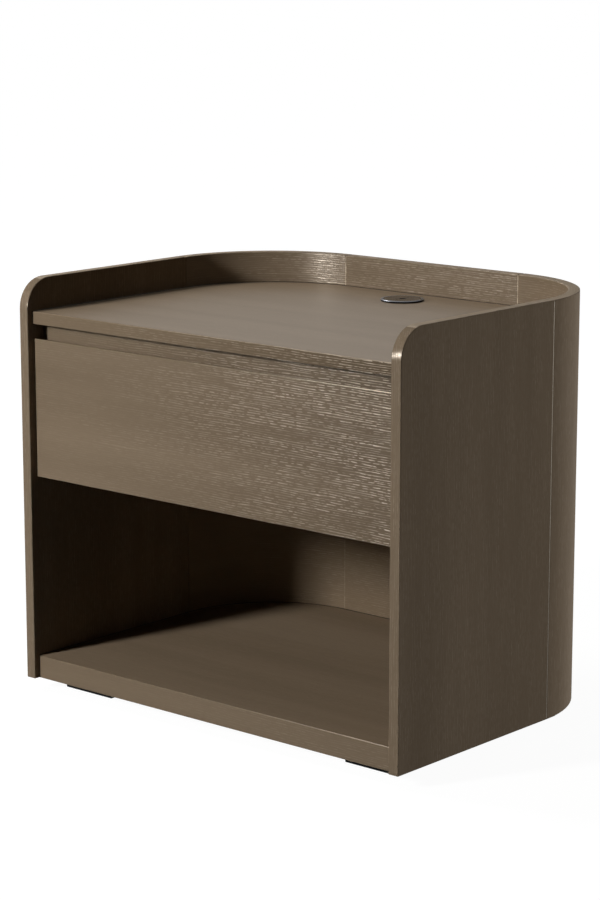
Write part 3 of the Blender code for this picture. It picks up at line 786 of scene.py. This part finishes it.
def smoothing_group():
    """Joins a node's loose facets and shades it smooth, apart from edges sharper than a limit."""
    group = bpy.data.node_groups.new("smooth_by_angle", "GeometryNodeTree")
    for way in ("INPUT", "OUTPUT"):
        group.interface.new_socket("Geometry", in_out=way, socket_type="NodeSocketGeometry")
    start = add(group, "NodeGroupInput").outputs["Geometry"]
    inputs = {"Geometry": start, "Name": "custom_normal"}
    plain = add(group, "GeometryNodeRemoveAttribute", inputs).outputs["Geometry"]
    inputs = {"Geometry": plain, "Distance": WELD}
    welded = add(group, "GeometryNodeMergeByDistance", inputs).outputs["Geometry"]
    inputs = {"Geometry": welded, "Shade Smooth": True}
    faces = add(group, "GeometryNodeSetShadeSmooth", inputs, domain="FACE").outputs["Geometry"]
    angle = add(group, "GeometryNodeInputMeshEdgeAngle").outputs["Unsigned Angle"]
    inputs = {"A": angle, "B": SMOOTH_ANGLE}
    gentle = add(group, "FunctionNodeCompare", inputs, data_type="FLOAT", operation="LESS_EQUAL")
    inputs = {"Geometry": faces, "Shade Smooth": gentle.outputs["Result"]}
    edges = add(group, "GeometryNodeSetShadeSmooth", inputs, domain="EDGE").outputs["Geometry"]
    add(group, "NodeGroupOutput", {"Geometry": edges})
    return group


def dress(nodes, material, smoothing):
    """Gives CAD nodes their finish, and smooth shading on their curves."""
    for name in nodes:
        item = frame["nodes"][name]
        item.data.materials.clear()
        item.data.materials.append(material)
        modifier = item.modifiers.new("smooth_by_angle", "NODES")
        modifier.node_group = smoothing
        weighted = item.modifiers.new("weighted_normals", "WEIGHTED_NORMAL")
        weighted.keep_sharp = True
        weighted.weight = NORMAL_WEIGHT


def named(part):
    """CAD nodes whose name holds a part, in order of name."""
    return [name for name in sorted(frame["nodes"]) if part in name]


def new_object(name, data):
    """An object in the scene."""
    item = bpy.data.objects.new(name, data)
    bpy.context.scene.collection.objects.link(item)
    return item


def new_piece(name, mesh, material, body):
    """A piece of the scene that moves with a body."""
    mesh.materials.append(material)
    item = new_object(name, mesh)
    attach(item, body)
    return item


def mesh_of(name, shape):
    """A mesh made of a worked-out shape, with its faces turned outwards."""
    bmesh.ops.recalc_face_normals(shape, faces=shape.faces)
    mesh = bpy.data.meshes.new(name)
    shape.to_mesh(mesh)
    shape.free()
    return mesh


def add_skin(shape, rings):
    """Adds faces between rings of as many points each, and over the first and the last ring."""
    count = len(rings[0])
    for ring, after in zip(rings, rings[1:]):
        for here in range(count):
            beside = (here + 1) % count
            shape.faces.new((ring[here], ring[beside], after[beside], after[here]))
    for end in (rings[0], rings[-1]):
        shape.faces.new(end)


def add_prism(shape, outline, low, high):
    """Adds an upright prism over an outline of points on the plan."""
    add_skin(shape, [[shape.verts.new((x, y, z)) for x, y in outline] for z in (low, high)])


def bead_outline(place, outward):
    """A bead's section on the plan, at a place on a wall whose face looks outward."""
    across = Vector((-outward.y, outward.x))
    return [place + MILLIMETRE * (across * aside - outward * depth) for aside, depth in BEAD_PROFILE]


def add_seam(name, place, outward, heights, material):
    """A bead in a seam at a place on a wall's face, between two heights."""
    shape = bmesh.new()
    add_prism(shape, bead_outline(place, outward), *heights)
    new_piece(name, mesh_of(name, shape), material, "body")


def add_seams():
    """Pale beads where the flat boards of the wrap meet its bent corners. Their pale colour is a painted
    highlight of the seams' eased edges; in the niche they are a dimmer copy, painted shade.
    """
    inside = painted_bead("seam_highlight", SEAM_HIGHLIGHT_DARK, SEAM_HIGHLIGHT_LIGHT, FILLER_SPECULAR)
    dim = painted_bead("seam_highlight_shaded", NICHE_SEAM_SHADE_DARK, NICHE_SEAM_SHADE_LIGHT, DIM_SPECULAR)
    outside = painted_bead("outer_seam_highlight", OUTER_SEAM_HIGHLIGHT_DARK, OUTER_SEAM_HIGHLIGHT_LIGHT, FILLER_SPECULAR, OUTER_SEAM_FLOOR_TONE)
    low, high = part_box("back_panel")
    whole = (low.z + BEAD_END, high.z - BEAD_END)
    niche = (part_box("bottom_panel")[1].z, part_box("divider_panel")[0].z)
    gallery = (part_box("top_panel")[1].z, high.z - BEAD_END)
    rear = Vector((0.0, 1.0))
    for side, sign in (("left", -1), ("right", 1)):
        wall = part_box(f"{side}_side_panel")
        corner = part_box(f"{side}_rear_corner")
        depth = (wall[1].y + corner[0].y) / 2
        width = sign * (min(abs(corner[0].x), abs(corner[1].x)) + high.x) / 2
        outer = sign * max(abs(wall[0].x), abs(wall[1].x))
        add_seam(f"{side}_side_seam", Vector((outer, depth)), Vector((sign, 0.0)), whole, outside)
        add_seam(f"{side}_back_seam", Vector((width, high.y)), rear, whole, inside)
        add_seam(f"{side}_gallery_seam", Vector((width, low.y)), -rear, gallery, inside)
        add_seam(f"{side}_niche_seam", Vector((width, low.y)), -rear, niche, dim)


def inner_path(front):
    """Points on the plan along the wrap's inner face, from the left front round to the right front."""
    axis, _, radius = bend_sizes()
    right = [Vector((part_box("right_side_panel")[0].x, front))]
    for step in range(JOINT_STEPS + 1):
        turn = math.pi / 2 * step / JOINT_STEPS
        right.append(Vector((axis.x + radius * math.cos(turn), axis.y + radius * math.sin(turn))))
    return [Vector((-point.x, point.y)) for point in right] + right[::-1]


def add_joint(panel, material):
    """A dark bead where a shelf meets the wrap round it: a painted shadow line of the joint."""
    low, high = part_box(panel)
    path = inner_path(low.y + BEAD_END)
    flat = JOINT_SIZE * JOINT_FLAT
    section = ((0.0, 0.0), (JOINT_SIZE, 0.0), (flat, flat), (0.0, JOINT_SIZE))
    shape = bmesh.new()
    rings = []
    for here, point in enumerate(path):
        along = (path[min(here + 1, len(path) - 1)] - path[max(here - 1, 0)]).normalized()
        away = Vector((along.y, -along.x))
        corners = [(*(point + away * aside), high.z + rise) for aside, rise in section]
        rings.append([shape.verts.new(corner) for corner in corners])
    add_skin(shape, rings)
    name = f"{panel}_joint"
    new_piece(name, mesh_of(name, shape), material, "body")


def add_joints():
    """The dark beads round the top and the bottom, painted shadow lines."""
    shadow_bead = painted_bead("joint_shadow", JOINT_SHADOW_DARK, JOINT_SHADOW_LIGHT, DIM_SPECULAR)
    for panel in ("top_panel", "bottom_panel"):
        add_joint(panel, shadow_bead)


def add_mark():
    """A plain bolt printed on the charging disc's cover."""
    low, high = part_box("charger_cover")
    middle = Vector(((low.x + high.x) / 2, (low.y + high.y) / 2))
    shape = bmesh.new()
    outline = [middle + MILLIMETRE * Vector(point) for point in BOLT]
    add_prism(shape, outline, high.z - MARK_SINK, high.z + MARK_RISE)
    mesh = mesh_of("charger_mark", shape)
    new_piece("charger_mark", mesh, printed_ink("printed_ink"), "body")


def screw_profile(length):
    """Radius and height along a screw's outline, from its tip to its head, which sits on height 0."""
    outline = [(0.0, -length), (THREAD_ROOT, -length)]
    for turn in range(int(length / THREAD_PITCH)):
        height = -length + turn * THREAD_PITCH
        outline.append((THREAD_ROOT, height + THREAD_PITCH * ROOT_END))
        outline.append((SHANK_RADIUS, height + THREAD_PITCH * CREST))
    shoulder = (HEAD_RADIUS * HEAD_SHOULDER[0], HEAD_HEIGHT * HEAD_SHOULDER[1])
    outline += [(THREAD_ROOT, 0.0), (HEAD_RADIUS, 0.0), (HEAD_RADIUS, HEAD_HEIGHT * HEAD_WALL), shoulder]
    outline += [(HEAD_RADIUS * HEAD_CROWN, HEAD_HEIGHT), (0.0, HEAD_HEIGHT)]
    return outline


def lathe(outline, steps):
    """A closed shape of an outline turned about the Z axis. The outline's two ends lie on the axis."""
    shape = bmesh.new()
    turns = [2 * math.pi * step / steps for step in range(steps)]
    rings = []
    for radius, height in outline[1:-1]:
        points = [(radius * math.cos(turn), radius * math.sin(turn), height) for turn in turns]
        rings.append([shape.verts.new(point) for point in points])
    tips = [shape.verts.new((0.0, 0.0, outline[end][1])) for end in (0, -1)]
    for step in range(steps):
        after = (step + 1) % steps
        for ring, above in zip(rings, rings[1:]):
            shape.faces.new((ring[step], ring[after], above[after], above[step]))
        for tip, ring in zip(tips, (rings[0], rings[-1])):
            shape.faces.new((tip, ring[step], ring[after]))
    return shape


def cross_outline(scale):
    """The twelve corners of a cross, counter-clockwise."""
    reach = RECESS_REACH * scale
    half = RECESS_WIDTH * scale / 2
    arm = ((reach, -half), (reach, half), (half, half))
    turns = [Matrix.Rotation(quarter * math.pi / 2, 2) for quarter in range(4)]
    return [turn @ Vector(point) for turn in turns for point in arm]


def recess_cutter():
    """A cross that tapers into the head, as an object that cuts."""
    shape = bmesh.new()
    sections = ((RECESS_TAPER, HEAD_HEIGHT - RECESS_DEPTH), (1.0, HEAD_HEIGHT), (1.0, 2 * HEAD_HEIGHT))
    rings = [[shape.verts.new((x, y, z)) for x, y in cross_outline(scale)] for scale, z in sections]
    add_skin(shape, rings)
    return new_object("recess_cutter", mesh_of("recess_cutter", shape))


def screw_mesh(length):
    """A screw's mesh with the cross cut into its head. Its head looks along +Z."""
    shape = lathe(screw_profile(length), SCREW_STEPS)
    blank = new_object("screw_blank", mesh_of("screw_blank", shape))
    cutter = recess_cutter()
    cut = blank.modifiers.new("recess", "BOOLEAN")
    cut.operation = "DIFFERENCE"
    cut.object = cutter
    graph = bpy.context.evaluated_depsgraph_get()
    mesh = bpy.data.meshes.new_from_object(blank.evaluated_get(graph))
    for spare in (blank, cutter):
        bpy.data.objects.remove(spare, do_unlink=True)
    mesh.materials.clear()
    return mesh


def screw_direction(node):
    """The place under a CAD screw's head, the way its head looks and the length of its shank."""
    low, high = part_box(node)
    size = high - low
    axis = max(range(3), key=lambda way: size[way])
    middle = (low + high) / 2
    item = frame["nodes"][node]
    offsets = [item.matrix_world @ vertex.co - middle for vertex in item.data.vertices]
    limit = ((SHANK_RADIUS + HEAD_RADIUS) / 2) ** 2
    head = [offset for offset in offsets if offset.length_squared - offset[axis] ** 2 > limit]
    sign = 1 if sum(offset[axis] for offset in head) > 0 else -1
    look = Vector([sign if way == axis else 0.0 for way in range(3)])
    return middle + look * (size[axis] / 2 - HEAD_HEIGHT), look, size[axis] - HEAD_HEIGHT


def add_screws(material):
    """Screws with cross recesses in place of the plain CAD ones."""
    bodies = frame["record"]["behaviour"]["bodies"]
    for node in named("_screw"):
        seat, look, length = screw_direction(node)
        body = next(name for name, nodes in bodies.items() if node in nodes)
        piece = new_piece(f"{node}_cross", screw_mesh(length), material, body)
        piece.matrix_world = Matrix.Translation(seat) @ look.to_track_quat("Z", "Y").to_matrix().to_4x4()
        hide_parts(node)


def dress_shelves(smoothing):
    """Veneer with level grain on the shelves, the drawer front and the strip over it."""
    level = veneer("oak_level", grain_along_x, painted_highlight_figure, edge=FRONT_EDGE_HIGHLIGHT)
    dress(["divider_panel", "drawer_front"], level, smoothing)
    # The strip's veneer is darker: painted shade of its recess
    rail = veneer("oak_rail", grain_along_x, painted_highlight_figure, tone=RAIL_PAINTED_SHADE)
    dress(["finger_rail"], rail, smoothing)
    top = veneer(
        "oak_top", grain_along_x, shelf_pores_and_highlights, upper=TOP_LACQUER, gloss=TOP_ROUGHNESS, edge=TOP_EDGE_HIGHLIGHT
    )
    dress(["top_panel"], top, smoothing)
    # The bottom's level face is made lighter: painted light
    bottom = veneer("oak_bottom", grain_along_x, shelf_pores_and_highlights, painted_level_light=BOTTOM_PAINTED_LIGHT, edge=BOTTOM_EDGE_HIGHLIGHT)
    dress(["bottom_panel"], bottom, smoothing)


def dress_wrap(smoothing):
    """Veneer on the sides, the rear corners and the back, with a matt rim whose pale tone is a painted
    sheen.
    """
    rim = {"upper": RIM_LACQUER, "painted_sheen": RIM_PAINTED_SHEEN}
    back = veneer("oak_back", back_grain, back_pores_and_highlights, wall_coat, edge=RIM_EDGE_HIGHLIGHT, **rim)
    dress(["back_panel"], back, smoothing)
    side = veneer("oak_side", side_grain, SIDE_FIGURE, side_coat, gloss=SIDE_ROUGHNESS, **rim)
    dress(named("side_panel"), side, smoothing)
    left = veneer(
        "oak_left_corner", corner_grain, corner_pores_and_highlights, corner_coat,
        gloss=CORNER_ROUGHNESS, edge=RIM_EDGE_HIGHLIGHT, **rim,
    )
    dress(["left_rear_corner"], left, smoothing)
    right = veneer("oak_right_corner", corner_grain, SIDE_FIGURE, wall_coat, edge=RIM_EDGE_HIGHLIGHT, **rim)
    dress(["right_rear_corner"], right, smoothing)


def dress_boards(smoothing):
    """Plain boards of the drawer box, and the tongues in the wrap's seams."""
    across = board("box_board_across", grain_along_x, BOX_DARK, BOX_LIGHT)
    dress(["drawer_box_front", "drawer_back", "drawer_bottom"], across, smoothing)
    lengthwise = board("box_board_lengthwise", grain_along_y, BOX_DARK, BOX_LIGHT)
    dress(["drawer_left_side", "drawer_right_side"], lengthwise, smoothing)
    tongue = board("tongue_board", grain_along_z, TONGUE_DARK, TONGUE_LIGHT)
    dress(named("_spline"), tongue, smoothing)


def dress_fittings(smoothing):
    """Feet, slides, screws and bumpers."""
    feet = [name for name in named("_foot") if not name.endswith("_screw")]
    dress(feet, moulded_plastic("foot_plastic", FOOT_SPECULAR), smoothing)
    steel = rolled_metal("zinc_steel", STEEL_DARK, STEEL_LIGHT, STEEL_LINES, STEEL_ROUGHNESS)
    dress(named("_member") + named("_cage"), steel, smoothing)
    add_screws(rolled_metal("zinc_screw", SCREW_DARK, SCREW_LIGHT, SCREW_LINES, SCREW_ROUGHNESS))
    dress(named("_bumper"), soft_rubber("bumper"), smoothing)


def dress_charger(smoothing):
    """The charging disc and what is under it."""
    plastic = moulded_plastic("charger_plastic", CHARGER_SPECULAR)
    dress(["charger_housing", "charger_nut", "charger_inlet"], plastic, smoothing)
    # The ring's upright faces are painted near black: painted shade
    ring = turned_metal("trim_ring", GUNMETAL_DARK, GUNMETAL_LIGHT, RING_WALL_SHADE)
    dress(["charger_trim_ring"], ring, smoothing)
    dress(["charger_cover"], gloss_cover("charger_cover"), smoothing)
    coil = turned_metal("coil_wire", COPPER_DARK, COPPER_LIGHT)
    dress(["charger_coil"], coil, smoothing)
    dress(["charger_board"], circuit_board("charger_board"), smoothing)


def dress_frame():
    """Finishes for all CAD nodes, and new screws in place of the plain ones."""
    smoothing = smoothing_group()
    for dress_group in (dress_shelves, dress_wrap, dress_boards, dress_fittings, dress_charger):
        dress_group(smoothing)


def seen_directly(tree):
    """1 for rays from the camera, reflections and refractions, so that they meet a white background."""
    path = add(tree, "ShaderNodeLightPath").outputs
    seen = calculate(tree, "MAXIMUM", path["Is Camera Ray"], path["Is Glossy Ray"])
    return calculate(tree, "MAXIMUM", seen, path["Is Transmission Ray"])


def floor():
    """A wide pale floor that keeps a light shadow of the cabinet."""
    mesh = bpy.data.meshes.new("floor")
    signs = ((-1, -1), (1, -1), (1, 1), (-1, 1))
    mesh.from_pydata([(x * FLOOR_HALF, y * FLOOR_HALF, 0) for x, y in signs], [], [(0, 1, 2, 3)])
    item = new_object("floor", mesh)
    material, tree, shader = new_material("floor", specular=0.0)
    shader.inputs["Base Color"].default_value = (*FLOOR_COLOUR, 1.0)
    shader.inputs["Roughness"].default_value = 1.0
    shader.inputs["Emission Color"].default_value = WHITE
    distance = add(tree, "ShaderNodeVectorMath", {0: object_place(tree)}, operation="LENGTH")
    glow = spread(tree, distance.outputs["Value"], *FLOOR_GLOW_REACH, *FLOOR_GLOW)
    tree.links.new(times(tree, seen_directly(tree), glow), shader.inputs["Emission Strength"])
    mesh.materials.append(material)


def world():
    """White where it is seen, and a low even light where it lights a surface."""
    studio = bpy.data.worlds.new("studio")
    studio.use_nodes = True
    tree = studio.node_tree
    background = tree.nodes["Background"]
    background.inputs["Color"].default_value = WHITE
    strength = between(tree, seen_directly(tree), AMBIENT, 1.0)
    tree.links.new(strength, background.inputs["Strength"])
    bpy.context.scene.world = studio


def link_light(item, nodes, state="INCLUDE"):
    """Lets a lamp light some CAD nodes alone, or, with EXCLUDE, all but them."""
    linked = bpy.data.collections.new(f"{item.name}_linked")
    item.light_linking.receiver_collection = linked
    for name in nodes:
        linked.objects.link(frame["nodes"][name])
    for entry in linked.collection_objects:
        entry.light_linking.link_state = state


def lamp(name, where, target, width, height, power, mirrored=False):
    """A soft rectangular lamp aimed at a point, unseen itself. Surfaces only mirror it, or never do."""
    light = bpy.data.lights.new(name, "AREA")
    light.shape = "RECTANGLE"
    light.size = width
    light.size_y = height
    light.energy = power
    item = new_object(name, light)
    item.location = where
    item.rotation_euler = (Vector(target) - Vector(where)).to_track_quat("-Z", "Y").to_euler()
    item.visible_camera = False
    item.visible_diffuse = not mirrored
    item.visible_glossy = mirrored
    return item


def lights():
    """Lamps that light the surfaces, and two that the veneer and the disc's ring only mirror."""
    lamp("key", **KEY)
    glint = lamp("key_glint", **KEY_GLINT, mirrored=True)
    glint.data.color = GLINT_COLOUR
    walls = named("side_panel") + named("rear_corner") + ["back_panel"]
    link_light(glint, walls + ["drawer_front", "finger_rail", "bottom_panel"])
    overhead = lamp("overhead", **OVERHEAD)
    link_light(overhead, ["bottom_panel"], "EXCLUDE")
    lamp("side_fill", **SIDE_FILL)
    lamp("rear_fill", **REAR_FILL)
    rim = lamp("rim_glint", **RIM_GLINT, mirrored=True)
    link_light(rim, ["charger_trim_ring"])


def camera():
    """The camera, which looks down at the cabinet from its front right."""
    data = bpy.data.cameras.new("camera")
    data.lens = LENS
    item = new_object("camera", data)
    item.location = CAMERA_PLACE
    item.rotation_euler = (math.pi / 2 - CAMERA_PITCH, 0.0, CAMERA_YAW)
    bpy.context.scene.camera = item


bpy.context.scene.view_settings.view_transform = "Standard"
dress_frame()
add_seams()
add_joints()
add_mark()
floor()
world()
lights()
camera()
